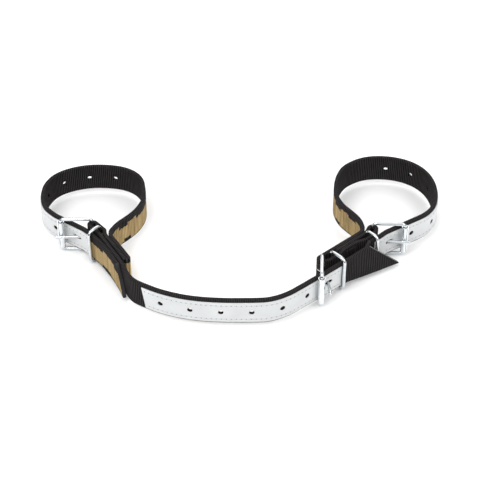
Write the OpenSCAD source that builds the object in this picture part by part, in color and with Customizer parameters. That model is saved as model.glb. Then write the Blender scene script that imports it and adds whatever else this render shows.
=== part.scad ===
// Livestock leg hobble: two buckled webbing cuffs joined by an adjustable webbing strap.
// The straps stand on edge, as they do when the hobble lies open on a table.
// Every strap follows a plan of [x, y, heading] poses, joined by smooth curves.

/* [Webbing] */
// Width of every strap
strap_w = 40; // [38:0.5:41]
// Thickness of the woven webbing
web_t = 5; // [4.6:0.1:5]
// Height of the straps' lower edges over the table
strap_z = 6.5; // [6.3:0.1:6.8]
// Length of the slanting part of a cuff strap's free end
tail_slant = 26; // [10:1:30]
// Length of the slanting part of the connecting strap's free end
panel_slant = 44; // [20:1:46]
// How far the top edge of the connecting strap's free end leans back
panel_lean = 8; // [0:0.5:8]

/* [Facing strip] */
// Thickness of the smooth strip sewn on the outside
facing_t = 1.2; // [0.8:0.1:1.4]
// Width of the strip
facing_w = 32.5; // [30:0.5:35]
// Bare webbing below the strip
facing_low = 2.6; // [1:0.1:3]
// Diameter of the punched holes
hole_d = 7; // [4:0.5:8]
// Distance between the punched holes of the left cuff
left_pitch = 37.4; // [36:0.2:39]
// Distance between the punched holes of the right cuff
right_pitch = 38; // [36:0.2:39]
// Distance between the punched holes of the connecting strap
strap_pitch = 39.6; // [38:0.2:41]

/* [Roller buckles] */
// Diameter of the frame's wire
wire_d = 4.4; // [4:0.1:4.4]
// Height of a frame over its rails
frame_h = 56; // [55:0.5:60]
// Distance from the base bar to the roller bar
frame_l = 43.5; // [43:0.1:44]
// Radius of the frame's corners, at the middle of the wire
frame_r = 5.5; // [4:0.5:5.5]
// Outside diameter of the roller
roller_d = 9.6; // [8.5:0.1:9.8]
// Wall of the roller's rolled tube
roller_wall = 1.3; // [1:0.1:1.5]
// Length of the roller
roller_l = 42; // [40:0.5:43]
// Diameter of the prong's wire
prong_d = 4; // [3:0.1:4]
// Reach of the prong from the base bar
prong_l = 52; // [50:0.5:54]

/* [Keepers] */
// Distance between the left keeper's two upright bars
left_keeper_l = 21; // [20.6:0.1:22]
// Distance between the centre keeper's two upright bars
centre_keeper_l = 25; // [24.8:0.1:26]
// Distance between the right keeper's two upright bars
right_keeper_l = 20; // [19.5:0.1:20.5]
// Radius of a keeper's front corners, at the middle of the wire
keeper_r = 7; // [5:0.5:7]

/* [Hidden] */
$fn = 48;
// Middle of the whole object in plan, which becomes the origin
plan_mid = [-0.77, 9.68];

half_t = web_t / 2;
wire_r = wire_d / 2;
prong_r = prong_d / 2;
strap_top = strap_z + strap_w;
frame_mid = frame_h / 2;
hole_z = strap_z + facing_low + facing_w / 2;
clear = 0.3;
running = 0.08;
wrap_r = wire_r + clear + half_t;

// Base bars of the three buckles in plan, and the way each frame points from its base bar
left_base = [-198.5, 10.5];
left_dir = 180;
centre_base = [108, -61];
centre_dir = -93;
right_base = [178.5, 1.5];
right_dir = -2;
// How far each prong stands off its roller, in degrees
centre_prong_open = 5;
// Headings of the two sewn bundles, and their layer spacing
left_run = -50;
right_run = 41.6;
layer = web_t + 0.4;
// Travel that the prong slots leave room for, in degrees
slot_shut = -1.7;
slot_open = 6.2;

// ---- plan geometry ----
function ahead(a) = [cos(a), sin(a)];
function aside(a) = [-sin(a), cos(a)];
function turned(a) = a > 180 ? turned(a - 360) : (a < -180 ? turned(a + 360) : a);
function posed(point, a) = [point.x, point.y, a];
function beside(point, a, along, across) = posed(point + along * ahead(a) + across * aside(a), a);
function flip(pose) = [pose.x, pose.y, pose.z + 180];
function reversed(list) = [for (i = [len(list) - 1 : -1 : 0]) list[i]];
function flipped(plan) = [for (pose = reversed(plan)) flip(pose)];

// One smooth span between two poses, close to an arc where the turn is even
function span_reach(p, q) = norm([q.x - p.x, q.y - p.y]) / (3 * pow(cos(turned(q.z - p.z) / 4), 2));
function blend4(a, b, c, d, t) =
    a * pow(1 - t, 3) + 3 * b * t * pow(1 - t, 2) + 3 * c * t * t * (1 - t) + d * pow(t, 3);
function slope4(a, b, c, d, t) =
    (b - a) * pow(1 - t, 2) + 2 * (c - b) * t * (1 - t) + (d - c) * t * t;
function span_pose(p, q, t) =
    let (a = [p.x, p.y], d = [q.x, q.y], reach = span_reach(p, q))
    let (b = a + reach * ahead(p.z), c = d - reach * ahead(q.z))
    let (at = blend4(a, b, c, d, t), way = slope4(a, b, c, d, t))
    [at.x, at.y, atan2(way.y, way.x)];
function span_steps(p, q) =
    max(2, ceil(abs(turned(q.z - p.z)) / 9), ceil(norm([q.x - p.x, q.y - p.y]) / 14));
function course(plan) = [
    for (i = [0 : len(plan) - 2])
    let (steps = span_steps(plan[i], plan[i + 1]))
    for (k = [(i == 0 ? 0 : 1) : steps]) span_pose(plan[i], plan[i + 1], k / steps)
];
function shifted(pose, across) = [pose.x, pose.y] + across * aside(pose.z);
function gap(p, q) = norm([q.x - p.x, q.y - p.y]);
// Leaves out points that crowd together on the inside of a tight fold
function thinned(points) = [
    for (i = [0 : len(points) - 1])
    if (i == 0 || i == len(points) - 1 || norm(points[i] - points[i - 1]) > 0.2) points[i]
];
// Pose at a distance along a course
function pose_at(run, s, i = 0) =
    i >= len(run) - 2 || s <= gap(run[i], run[i + 1])
    ? let (t = s / gap(run[i], run[i + 1]))
      [run[i].x + t * (run[i + 1].x - run[i].x), run[i].y + t * (run[i + 1].y - run[i].y),
       run[i].z + t * turned(run[i + 1].z - run[i].z)]
    : pose_at(run, s - gap(run[i], run[i + 1]), i + 1);
function total(run, i = 0) = i >= len(run) - 1 ? 0 : gap(run[i], run[i + 1]) + total(run, i + 1);
// How far the free end's top edge leans back at a distance along its course
lean_from = 88;
lean_over = 37;
function eased(t) = t <= 0 ? 0 : (t >= 1 ? 1 : t * t * (3 - 2 * t));
function lean_at(s) = panel_lean * eased((s - lean_from) / lean_over);
// The stretch of a course between two distances
function travelled(run, i, s = 0) = i == 0 ? s : travelled(run, i - 1, s + gap(run[i - 1], run[i]));
function stretch(run, from, to) = concat(
    [pose_at(run, from)],
    [for (i = [1 : len(run) - 2])
     let (s = travelled(run, i)) if (s > from + 0.5 && s < to - 0.5) run[i]],
    [pose_at(run, to)]
);

// ---- strap plans ----
// Left bundle and cuff, from the buckle's base bar: back layer, end fold, rear layer, cuff, free end
left_plan = [
    beside(left_base, left_run, 0, wrap_r),
    beside(left_base, left_run, 18.5, wrap_r),
    [-181, -8, -78],
    [-177.2, -17.2, -62],
    [-172.2, -24.8, -60],
    [-151.4, -60.8, -60],
    beside([-151.4, -60.8], -60, layer / 2, layer / 2) + [0, 0, 90],
    beside([-151.4, -60.8], -60, 0, layer) + [0, 0, 180],
    [-171.4, -15.8, 120],
    [-172.2, -0.5, 64],
    [-160.4, 17.8, 46],
    [-137.6, 50.3, 68],
    [-132.6, 74, 90],
    [-135.4, 101, 100],
    [-152.2, 127.6, 143],
    [-174, 137.4, 167],
    [-203.7, 140, 182],
    [-238, 132, 204],
    [-263.4, 111.6, 239],
    [-271.8, 88, 264],
    [-271, 63, 281],
    [-260.8, 41.2, 310],
    [-244.6, 26, 325],
    [-213, 3.7, 325],
    [-202, -7, 310],
    [-187, -25.9, 306],
    [-178, -39.4, 302],
    [-170.6, -52, 299],
    [-157, -79.4, 296],
    [-151, -94.9, 295]
];
// Left bundle's front layer, round the base bar and on to the left flex
left_front_plan = [
    beside(left_base, left_run, 0, wrap_r) + [0, 0, 180],
    beside(left_base, left_run, -wrap_r, 0) + [0, 0, 270],
    beside(left_base, left_run, 0, -wrap_r),
    beside(left_base, left_run, 19.5, -wrap_r),
    [-183.2, -18.6, 298],
    [-160.4, -58.8, 299],
    [-151, -79, 291],
    [-144.6, -93.4, 300],
    [-131.3, -107.6, 328]
];
// Connecting strap: middle part from the left flex to the right flex
middle_plan = [
    [-131.3, -107.6, -32],
    [-110.5, -119.6, -28],
    [-82.9, -130.9, -18],
    [-43.8, -138.9, -6],
    [6, -140.7, 1],
    [30, -139.9, 5],
    [53, -132.8, 27],
    [71.6, -120.5, 41]
];
// Connecting strap: from the right flex through the centre buckle and keeper to its free end
tail_plan = [
    [71.6, -120.5, 41],
    [86.8, -107.8, 41],
    [110.2, -88.3, 42],
    [129.6, -71.4, 42],
    [140, -63.3, 33],
    [164, -50.6, 29],
    [188.4, -37.3, 29],
    [213.9, -23, 28]
];
// Right bundle: front layer from the right base bar to the centre base bar, rear layer, cuff, free end
right_turn = right_run + 180;
k1_out = 10;
right_plan = [
    beside(right_base, right_run, 0, wrap_r),
    beside(right_base, right_run, wrap_r, 0) + [0, 0, -90],
    beside(right_base, right_run, wrap_r * sin(25), -wrap_r * cos(25)) + [0, 0, -155],
    beside(right_base, right_run, -12, -k1_out) + [0, 0, -180],
    beside(right_base, right_run, -21, -k1_out) + [0, 0, -180],
    beside(right_base, right_run, -40, -layer) + [0, 0, -180],
    beside(centre_base, right_run, 36, -layer) + [0, 0, -180],
    beside(centre_base, right_run, 20, -wrap_r - 3.5) + [0, 0, -180],
    beside(centre_base, right_run, 9, -wrap_r - 3.5) + [0, 0, -180],
    beside(centre_base, right_run, -wrap_r * sin(25), -wrap_r * cos(25)) + [0, 0, -205],
    beside(centre_base, right_run, -wrap_r, 0) + [0, 0, -270],
    beside(centre_base, right_run, 0, wrap_r) + [0, 0, 0],
    beside(centre_base, right_run, 73, wrap_r) + [0, 0, 0],
    [165.2, 5, 98],
    [163, 16.4, 106],
    [157, 29, 122],
    [146.2, 44, 128],
    [134.8, 67.4, 105],
    [132.6, 89, 86],
    [143.4, 131.4, 62],
    [162, 150.2, 34],
    [190.6, 160, 4],
    [230.4, 153.4, -24],
    [258, 130.6, -56],
    [269.8, 98.6, -82],
    [268.6, 62.6, -102],
    [255.2, 36.4, -132],
    [241.2, 25, -147],
    [197.6, -3.4, -147],
    beside(right_base, right_run, 0, -16.6) + [0, 0, -178],
    beside(right_base, right_run, -14, -16.4) + [0, 0, -180],
    beside(right_base, right_run, -48, -14) + [0, 0, -178]
];
// Right bundle's middle layer, from the base bar's rear side inwards
right_inner_plan = [
    beside(right_base, right_run, 0, wrap_r) + [0, 0, 180],
    beside(right_base, right_run, -2, wrap_r - 0.3) + [0, 0, 198],
    beside(right_base, right_run, -12, 0.5) + [0, 0, 186],
    beside(right_base, right_run, -22, -0.2) + [0, 0, 180],
    beside(right_base, right_run, -68, -0.2) + [0, 0, 180]
];

left_course = course(left_plan);
left_front_course = course(left_front_plan);
middle_course = course(middle_plan);
tail_course = course(tail_plan);
right_course = course(right_plan);
right_inner_course = course(right_inner_plan);

// Distances along the courses: prong holes, punched holes, facing ends
hole_count = 7;
left_len = total(left_course);
left_prong_s = left_len - 125;
left_holes = [for (i = [1 : hole_count - 1]) left_prong_s - i * left_pitch];
left_facing = [left_holes[hole_count - 2] - 30, left_len - 101];
right_len = total(right_course);
right_prong_s = right_len - 61;
right_holes = [for (i = [1 : hole_count - 1]) right_prong_s - i * right_pitch];
right_facing = [right_holes[hole_count - 2] - 30, right_len - 30];
middle_len = total(middle_course);
middle_holes = [for (i = [0 : hole_count - 3]) 34 + i * strap_pitch];
flex_gap = 0.3;
middle_facing = [8.5, middle_len - 2.2];
tail_len = total(tail_course);
tail_hole = middle_holes[hole_count - 3] + strap_pitch - middle_len;
tail_facing_run = [2.2 + half_t, 78];
tail_start = half_t + flex_gap;
tail_run = stretch(tail_course, tail_start, tail_len);

// ---- building blocks ----
module in_place() {
    translate([-plan_mid.x, -plan_mid.y, 0])
        children();
}

// An upright ribbon along a course, between two sideways offsets
module ribbon(run, near, far, z0, height) {
    near_side = [for (pose = run) shifted(pose, near)];
    far_side = [for (pose = reversed(run)) shifted(pose, far)];
    translate([0, 0, z0])
        linear_extrude(height)
            polygon(concat(thinned(near_side), thinned(far_side)));
}

// A ribbon whose top edge leans to the left of its course, by an amount for each pose
module leaning_ribbon(run, leans) {
    count = len(run);
    corners = [
        for (i = [0 : count - 1])
        for (c = [[-half_t, 0], [half_t, 0], [half_t, 1], [-half_t, 1]])
        let (at = shifted(run[i], c[0] + c[1] * leans[i])) [at.x, at.y, strap_z + c[1] * strap_w]
    ];
    sides = [
        for (i = [0 : count - 2])
        for (k = [0 : 3])
        let (a = 4 * i + k, b = 4 * i + (k + 1) % 4)
        for (face = [[a, a + 4, b + 4], [a, b + 4, b]]) face
    ];
    last = 4 * (count - 1);
    polyhedron(corners, concat([[0, 1, 2, 3]], sides, [[last + 3, last + 2, last + 1, last]]));
}

// A punched hole across the strap at a pose
module punched(pose) {
    translate([pose.x, pose.y, hole_z])
        rotate([90, 0, pose.z])
            cylinder(d = hole_d, h = 16, center = true, $fn = 32);
}

// Everything beyond a slanting cut across the free end that finishes at a pose, its low corner longest
module end_cut(pose, slant, thick) {
    translate([pose.x, pose.y, strap_z])
        rotate([90, 0, pose.z])
            linear_extrude(thick, center = true)
                polygon([[0, 0], [0, -5], [9, -5], [9, strap_w + 5],
                         [-slant * (strap_w + 5) / strap_w, strap_w + 5]]);
}

// Slot that the prong's eye and shank need where the webbing folds over a base bar
module eye_slot(base) {
    translate([base.x, base.y, frame_mid])
        cylinder(r = 10.5, h = prong_d + 1.4, center = true);
}

// Room in a strap for the prong that passes through it, over the prong's whole travel
module prong_slot(base, dir, sense, open) {
    start = wire_r + running + prong_r;
    wide = prong_r + 0.5;
    low = slot_shut + open * 0.3;
    high = open + slot_open;
    translate([base.x, base.y, frame_mid - prong_r - 0.7])
        linear_extrude(prong_d + 1.4)
            polygon([
                for (step = [[10, low, -wide], [38, low, -wide], [38, high, wide], [10, high, wide]])
                step[0] * ahead(dir + sense * (step[1] + 3.2))
                + sense * (start + step[2]) * aside(dir + sense * step[1])
            ]);
}

module rod(radius, length) {
    cylinder(r = radius, h = length);
}

// A rounded wire loop in the XZ plane: one upright bar on the Z axis, the other at x = length
module wire_loop(length, rear_r, front_r) {
    low = wire_r;
    high = frame_h - wire_r;
    for (bar = [[0, rear_r], [length, front_r]])
        translate([bar[0], 0, low + bar[1]])
            rod(wire_r, high - low - 2 * bar[1]);
    for (z = [low, high])
        translate([rear_r, 0, z])
            rotate([0, 90, 0])
                rod(wire_r, length - rear_r - front_r);
    for (bend = [[rear_r, low + rear_r, 180, rear_r], [length - front_r, low + front_r, 270, front_r],
                 [rear_r, high - rear_r, 90, rear_r], [length - front_r, high - front_r, 0, front_r]])
        translate([bend[0], 0, bend[1]])
            rotate([90, 0, 0])
                rotate([0, 0, bend[2]])
                    rotate_extrude(angle = 90)
                        translate([bend[3], 0])
                            circle(r = wire_r);
}

module buckle_frame(base, dir) {
    color("silver")
        translate([base.x, base.y, 0])
            rotate([0, 0, dir])
                wire_loop(frame_l, frame_r, frame_r);
}

// Rolled tube, loose on the outer bar, with its open seam
module roller(base, dir, seam) {
    at = base + frame_l * ahead(dir);
    color("gainsboro")
        translate([at.x, at.y, frame_mid])
            rotate([0, 0, dir + seam])
                difference() {
                    cylinder(d = roller_d, h = roller_l, center = true);
                    cylinder(d = roller_d - 2 * roller_wall, h = roller_l + 1, center = true);
                    translate([0, -0.35, -roller_l])
                        cube([roller_d, 0.7, 2 * roller_l]);
                }
}

// Wire prong: an eye round the base bar and a straight shank that lies on the roller
module prong(base, dir, sense, open) {
    eye = wire_r + running + prong_r;
    rest = roller_d / 2 + prong_r + clear;
    tilt = atan((rest - eye) / frame_l);
    color("lightgray")
        translate([base.x, base.y, frame_mid])
            rotate([0, 0, dir + sense * open]) {
                rotate_extrude()
                    translate([eye, 0])
                        circle(r = prong_r);
                translate([0, sense * eye, 0])
                    rotate([0, 90, sense * tilt])
                        rod(prong_r, prong_l - prong_r);
                translate([0, sense * eye, 0])
                    rotate([0, 0, sense * tilt])
                        translate([prong_l - prong_r, 0, 0])
                            sphere(r = prong_r);
            }
}

// Loop that holds the free end, its rear bar caught between the bundle's layers
module keeper(base, run, along, across, dir, length) {
    at = base + along * ahead(run) + across * aside(run);
    color("silver")
        translate([at.x, at.y, 0])
            rotate([0, 0, dir])
                wire_loop(length, frame_r, keeper_r);
}

module left_keeper() {
    keeper(left_base, left_run, 16.5, 0, left_run - 80, left_keeper_l);
}

module centre_keeper() {
    keeper(centre_base, right_run, 13, -3.5, right_run - 90, centre_keeper_l);
}

module right_keeper() {
    keeper(right_base, right_run, -16.5, -5, right_run - 90, right_keeper_l);
}

// Rows of thread laid on one face of a strap: two long rows and two cross rows
module seam(run, across, from, to) {
    stitch = [3, 0.5, 0.8];
    pitch = 4.6;
    count = floor((to - from) / pitch);
    out = across > 0 ? 1 : -1;
    for (i = [0 : count])
        for (z = [strap_z + 5, strap_top - 5]) {
            pose = pose_at(run, from + i * pitch);
            at = shifted(pose, across);
            translate([at.x, at.y, z])
                rotate([0, 0, pose.z])
                    translate([0, out * stitch.y / 2, 0])
                        cube(stitch, center = true);
        }
    for (s = [from, from + count * pitch])
        for (z = [strap_z + 9.6 : pitch : strap_top - 9]) {
            pose = pose_at(run, s);
            at = shifted(pose, across);
            translate([at.x, at.y, z])
                rotate([0, 0, pose.z])
                    translate([0, out * stitch.y / 2, 0])
                        cube([stitch.z, stitch.y, stitch.x], center = true);
        }
}

// ---- webbing ----
// Half-round end that lets two strap parts flex about an upright axis
module flex_nose(pose) {
    translate([pose.x, pose.y, strap_z])
        rod(half_t - 0.05, strap_w);
}

module left_webbing() {
    color("dimgray")
        difference() {
            union() {
                ribbon(left_course, -half_t, half_t, strap_z, strap_w);
                ribbon(left_front_course, -half_t, half_t, strap_z, strap_w);
                flex_nose(middle_plan[0]);
            }
            end_cut(left_plan[len(left_plan) - 1], tail_slant, web_t + 1.2);
            for (s = left_holes)
                punched(pose_at(left_course, s));
            eye_slot(left_base);
            prong_slot(left_base, left_dir, 1, 0);
        }
}

module connecting_webbing() {
    color("dimgray")
        difference() {
            union() {
                ribbon(stretch(middle_course, half_t + flex_gap, middle_len), -half_t, half_t, strap_z, strap_w);
                flex_nose(tail_plan[0]);
            }
            for (s = middle_holes)
                punched(pose_at(middle_course, s));
        }
}

module tail_webbing() {
    color("dimgray")
        difference() {
            leaning_ribbon(tail_run, [for (i = [0 : len(tail_run) - 1]) lean_at(tail_start + travelled(tail_run, i))]);
            end_cut(tail_plan[len(tail_plan) - 1], panel_slant, 5 * web_t);
            punched(pose_at(tail_course, tail_hole));
            prong_slot(centre_base, centre_dir, 1, centre_prong_open);
        }
}

module right_webbing() {
    color("dimgray")
        difference() {
            union() {
                ribbon(right_course, -half_t, half_t, strap_z, strap_w);
                ribbon(right_inner_course, -half_t, half_t, strap_z, strap_w);
            }
            end_cut(right_plan[len(right_plan) - 1], tail_slant, web_t + 1.2);
            for (s = right_holes)
                punched(pose_at(right_course, s));
            eye_slot(right_base);
            eye_slot(centre_base);
            prong_slot(right_base, right_dir, -1, 0);
        }
}

// ---- facing strips ----
// Strip on the outside of a course, between two distances; out is the side it lies on
module facing(run, ends, out) {
    ribbon(stretch(run, ends[0], ends[1]), out * half_t, out * (half_t + facing_t),
           strap_z + facing_low, facing_w);
}

module left_cuff_facing() {
    color("white")
        difference() {
            facing(left_course, left_facing, -1);
            for (s = left_holes)
                punched(pose_at(left_course, s));
            prong_slot(left_base, left_dir, 1, 0);
        }
}

module connecting_facing() {
    color("white")
        difference() {
            facing(middle_course, middle_facing, -1);
            for (s = middle_holes)
                punched(pose_at(middle_course, s));
        }
}

module tail_facing() {
    color("white")
        difference() {
            facing(tail_course, tail_facing_run, -1);
            punched(pose_at(tail_course, tail_hole));
            prong_slot(centre_base, centre_dir, 1, centre_prong_open);
        }
}

module right_cuff_facing() {
    color("white")
        difference() {
            facing(right_course, right_facing, 1);
            for (s = right_holes)
                punched(pose_at(right_course, s));
            prong_slot(right_base, right_dir, -1, 0);
        }
}

// ---- stitching ----
module left_bundle_stitching() {
    color("black") {
        seam(left_course, -half_t, 104, 132);
        seam(left_front_course, -half_t, 46, 62);
    }
}

module right_bundle_stitching() {
    color("black") {
        seam(right_course, half_t, 132, 160);
        seam(right_course, half_t, 59.5, 73.5);
    }
}

in_place() left_webbing();
in_place() connecting_webbing();
in_place() tail_webbing();
in_place() right_webbing();
in_place() left_cuff_facing();
in_place() connecting_facing();
in_place() tail_facing();
in_place() right_cuff_facing();
in_place() left_bundle_stitching();
in_place() right_bundle_stitching();
in_place() buckle_frame(left_base, left_dir);  // left_buckle_frame
in_place() roller(left_base, left_dir, 60);  // left_roller
in_place() prong(left_base, left_dir, 1, 0);  // left_prong
in_place() left_keeper();
in_place() buckle_frame(centre_base, centre_dir);  // centre_buckle_frame
in_place() roller(centre_base, centre_dir, 60);  // centre_roller
in_place() prong(centre_base, centre_dir, 1, centre_prong_open);  // centre_prong
in_place() centre_keeper();
in_place() buckle_frame(right_base, right_dir);  // right_buckle_frame
in_place() roller(right_base, right_dir, -60);  // right_roller
in_place() prong(right_base, right_dir, -1, 0);  // right_prong
in_place() right_keeper();
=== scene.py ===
import math
import bmesh
import bpy
import numpy as np
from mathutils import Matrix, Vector


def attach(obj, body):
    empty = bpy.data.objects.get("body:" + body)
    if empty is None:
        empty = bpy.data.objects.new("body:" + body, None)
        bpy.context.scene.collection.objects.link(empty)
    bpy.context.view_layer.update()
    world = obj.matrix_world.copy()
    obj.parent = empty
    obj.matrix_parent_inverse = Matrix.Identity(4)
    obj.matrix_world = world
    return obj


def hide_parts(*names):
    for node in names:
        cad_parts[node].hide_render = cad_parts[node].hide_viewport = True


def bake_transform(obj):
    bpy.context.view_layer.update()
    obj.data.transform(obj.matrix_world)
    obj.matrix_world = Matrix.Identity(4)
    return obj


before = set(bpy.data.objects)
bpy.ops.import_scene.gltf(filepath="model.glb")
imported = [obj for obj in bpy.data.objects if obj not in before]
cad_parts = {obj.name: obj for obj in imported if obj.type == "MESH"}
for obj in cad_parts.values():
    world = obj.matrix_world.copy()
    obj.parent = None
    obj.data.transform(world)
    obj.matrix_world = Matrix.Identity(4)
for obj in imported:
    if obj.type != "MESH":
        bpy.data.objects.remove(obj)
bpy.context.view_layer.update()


# ------------ sizes, in mm, as in the CAD
MID = (-0.77, 9.68)
WEB_T, HALF_T, STRAP_W, Z0 = 5.0, 2.5, 40.0, 6.5
Z1 = Z0 + STRAP_W
FACE_T, FACE_W, FACE_LOW = 1.2, 32.5, 2.6
WIRE_R, RUN, CLEAR = 2.2, 0.08, 0.3
FRAME_H, FRAME_L, FRAME_R = 56.0, 43.5, 5.5
ROLL_R, ROLL_WALL, ROLL_L = 4.8, 1.3, 42.0
PRONG_R, PRONG_L = 2.0, 52.0
KEEP_R, SHOWN_WIRE = 7.0, 2.45
WRAP = WIRE_R + CLEAR + HALF_T
LAYER = WEB_T + 0.4
HOLE_R, HOLE_Z = 3.5, Z0 + FACE_LOW + FACE_W / 2
FRAME_MID = FRAME_H / 2
LB, CB, RB = (-198.5, 10.5), (108.0, -61.0), (178.5, 1.5)
LDIR, CDIR, RDIR = 180.0, -93.0, -2.0
LRUN, RRUN = -50.0, 41.6
CENTRE_OPEN = 5.0
LEFT_PITCH, RIGHT_PITCH, STRAP_PITCH = 37.4, 38.0, 39.6
CUFF_HOLES, STRAP_HOLES = 6, 6
# From a cuff strap's free end back to about its prong; the open holes follow at the pitch
LEFT_PRONG_AT, RIGHT_PRONG_AT = 125.0, 61.0
FIRST_STRAP_HOLE = 34.0
CUFF_SLANT, PANEL_SLANT = 26.0, 44.0
PANEL_LEAN, LEAN_OVER = 8.0, 37.0
# Distances past the right flex where the end panel starts to lean and where the facing strip stops
LEAN_FROM, TAIL_FACING = 88.0, 78.0
# A cuff's strip starts this far before its last hole
STRIP_PAST_HOLE = 30.0
# Length of the right bundle's back layer
BACK_LAYER = 73.0
LEFT_BACK_SEAM, LEFT_FRONT_SEAM = (104.0, 132.0), (46.0, 62.0)
RIGHT_BACK_SEAM, RIGHT_BASE_SEAM = (132.0, 160.0), (59.5, 73.5)

# ------------ shapes that the CAD leaves out or has simpler, in mm
# Where the cuffs' strips stop short of the strap's free end
LEFT_STRIP_SHORT, RIGHT_STRIP_SHORT = 101.0, 33.0
# The connecting strap's strip starts on a slant, this far from the left flex
STRIP_START, STRIP_SLANT = 12.5, 5.8
# How far the right cuff's olive face runs in behind the bundle
OLIVE_BEHIND = 16.0
RIB, RIB_HIGH, EDGE_NOTCH = 2.8, 0.15, 1.8
WEB_ROUND, FACE_ROUND = 1.3, 0.45
# Half length along the strap and half height of the slots for a prong's eye and its shank
EYE_SLOT, PRONG_SLOT = (8.5, 2.7), (6.8, 2.8)
# The right strap's eye slot lies this far along it, and a shank's slot is moved on by the shift
RIGHT_EYE_AT, SLOT_SHIFT = 10.5, 0.9
# Stitches of the strips: pitch, and distance in from the strip's edges
STITCH, SEW_IN = 6.4, 4.9
# Stitches of the bundles: pitch and length
BOX_STITCH, BOX_THREAD = 4.6, 3.4
EVERYWHERE = (-9000.0, 9000.0)
# Offsets of a webbing's two faces, and of a facing strip's, which sinks a little into the webbing
SUNK = 0.12
web = (-HALF_T, HALF_T)
outer_left = (HALF_T - SUNK, HALF_T + FACE_T)
outer_right = (-HALF_T - FACE_T, -HALF_T + SUNK)


def ahead(a):
    """Unit step along a heading in degrees."""
    return np.array([math.cos(math.radians(a)), math.sin(math.radians(a))])


def aside(a):
    """Unit step to the left of a heading."""
    return np.array([-math.sin(math.radians(a)), math.cos(math.radians(a))])


def beside(point, a, along, across, turn=0):
    """Pose (x, y, heading) beside a point, measured along and across a heading."""
    p = np.array(point[:2], float) + along * ahead(a) + across * aside(a)
    return (p[0], p[1], a + turn)


def turned(a):
    return (a + 180) % 360 - 180


# ------------ strap plans: poses of x, y and heading along each strap's middle line
# The left bundle's folded end, and the room the right bundle's front leaves for the keeper's rear bar
FOLD, KEEPER_ROOM = (-151.4, -60.8), 10.0
# From the left buckle's fold along the bundle to its end, back, round the cuff and on to the free end
LEFT = [
    beside(LB, LRUN, 0, WRAP), beside(LB, LRUN, 18.5, WRAP),
    (-181, -8, -78), (-177.2, -17.2, -62), (-172.2, -24.8, -60), (-151.4, -60.8, -60),
    beside(FOLD, -60, LAYER / 2, LAYER / 2, 90), beside(FOLD, -60, 0, LAYER, 180),
    (-171.4, -15.8, 120), (-172.2, -0.5, 64), (-160.4, 17.8, 46), (-137.6, 50.3, 68),
    (-132.6, 74, 90), (-135.4, 101, 100), (-152.2, 127.6, 143), (-174, 137.4, 167),
    (-203.7, 140, 182), (-238, 132, 204), (-263.4, 111.6, 239), (-271.8, 88, 264),
    (-271, 63, 281), (-260.8, 41.2, 310), (-244.6, 26, 325), (-213, 3.7, 325),
    (-202, -7, 310), (-187, -25.9, 306), (-178, -39.4, 302), (-170.6, -52, 299), (-157, -79.4, 296),
    (-151, -94.9, 295),
]
# From the same fold along the bundle's front to the left flex
LEFT_FRONT = [
    beside(LB, LRUN, 0, WRAP, 180), beside(LB, LRUN, -WRAP, 0, 270), beside(LB, LRUN, 0, -WRAP),
    beside(LB, LRUN, 19.5, -WRAP), (-183.2, -18.6, 298), (-160.4, -58.8, 299), (-151, -79, 291),
    (-144.6, -93.4, 300), (-131.3, -107.6, 328),
]
# The connecting strap from flex to flex, then on through the centre buckle to its free end
MIDDLE = [
    (-131.3, -107.6, -32), (-110.5, -119.6, -28), (-82.9, -130.9, -18), (-43.8, -138.9, -6),
    (6, -140.7, 1), (30, -139.9, 5), (53, -132.8, 27), (71.6, -120.5, 41),
]
TAIL = [
    (71.6, -120.5, 41), (86.8, -107.8, 41), (110.2, -88.3, 42), (129.6, -71.4, 42), (140, -63.3, 33),
    (164, -50.6, 29), (188.4, -37.3, 29), (213.9, -23, 28),
]
# From the right buckle's fold along the bundle's front to the centre buckle's fold, back behind it,
# round the cuff and on to the free end
RIGHT = [
    beside(RB, RRUN, 0, WRAP), beside(RB, RRUN, WRAP, 0, -90),
    beside(RB, RRUN - 65, WRAP, 0, -90),
    beside(RB, RRUN, -12, -KEEPER_ROOM, -180), beside(RB, RRUN, -21, -KEEPER_ROOM, -180),
    beside(RB, RRUN, -40, -LAYER, -180), beside(CB, RRUN, 36, -LAYER, -180),
    beside(CB, RRUN, 20, -WRAP - 3.5, -180), beside(CB, RRUN, 9, -WRAP - 3.5, -180),
    beside(CB, RRUN - 115, WRAP, 0, -90), beside(CB, RRUN, -WRAP, 0, -270),
    beside(CB, RRUN, 0, WRAP), beside(CB, RRUN, BACK_LAYER, WRAP),
    (165.2, 5, 98), (163, 16.4, 106), (157, 29, 122), (146.2, 44, 128), (134.8, 67.4, 105),
    (132.6, 89, 86), (143.4, 131.4, 62), (162, 150.2, 34), (190.6, 160, 4), (230.4, 153.4, -24),
    (258, 130.6, -56), (269.8, 98.6, -82), (268.6, 62.6, -102), (255.2, 36.4, -132),
    (241.2, 25, -147), (197.6, -3.4, -147), beside(RB, RRUN, 0, -16.6, -178),
    beside(RB, RRUN, -14, -16.4, -180), beside(RB, RRUN, -48, -14, -178),
]
# The layer turned in from the right buckle's fold
RIGHT_INNER = [
    beside(RB, RRUN, 0, WRAP, 180), beside(RB, RRUN, -2, WRAP - 0.3, 198),
    beside(RB, RRUN, -12, 0.5, 186), beside(RB, RRUN, -22, -0.2, 180), beside(RB, RRUN, -68, -0.2, 180),
]


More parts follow.
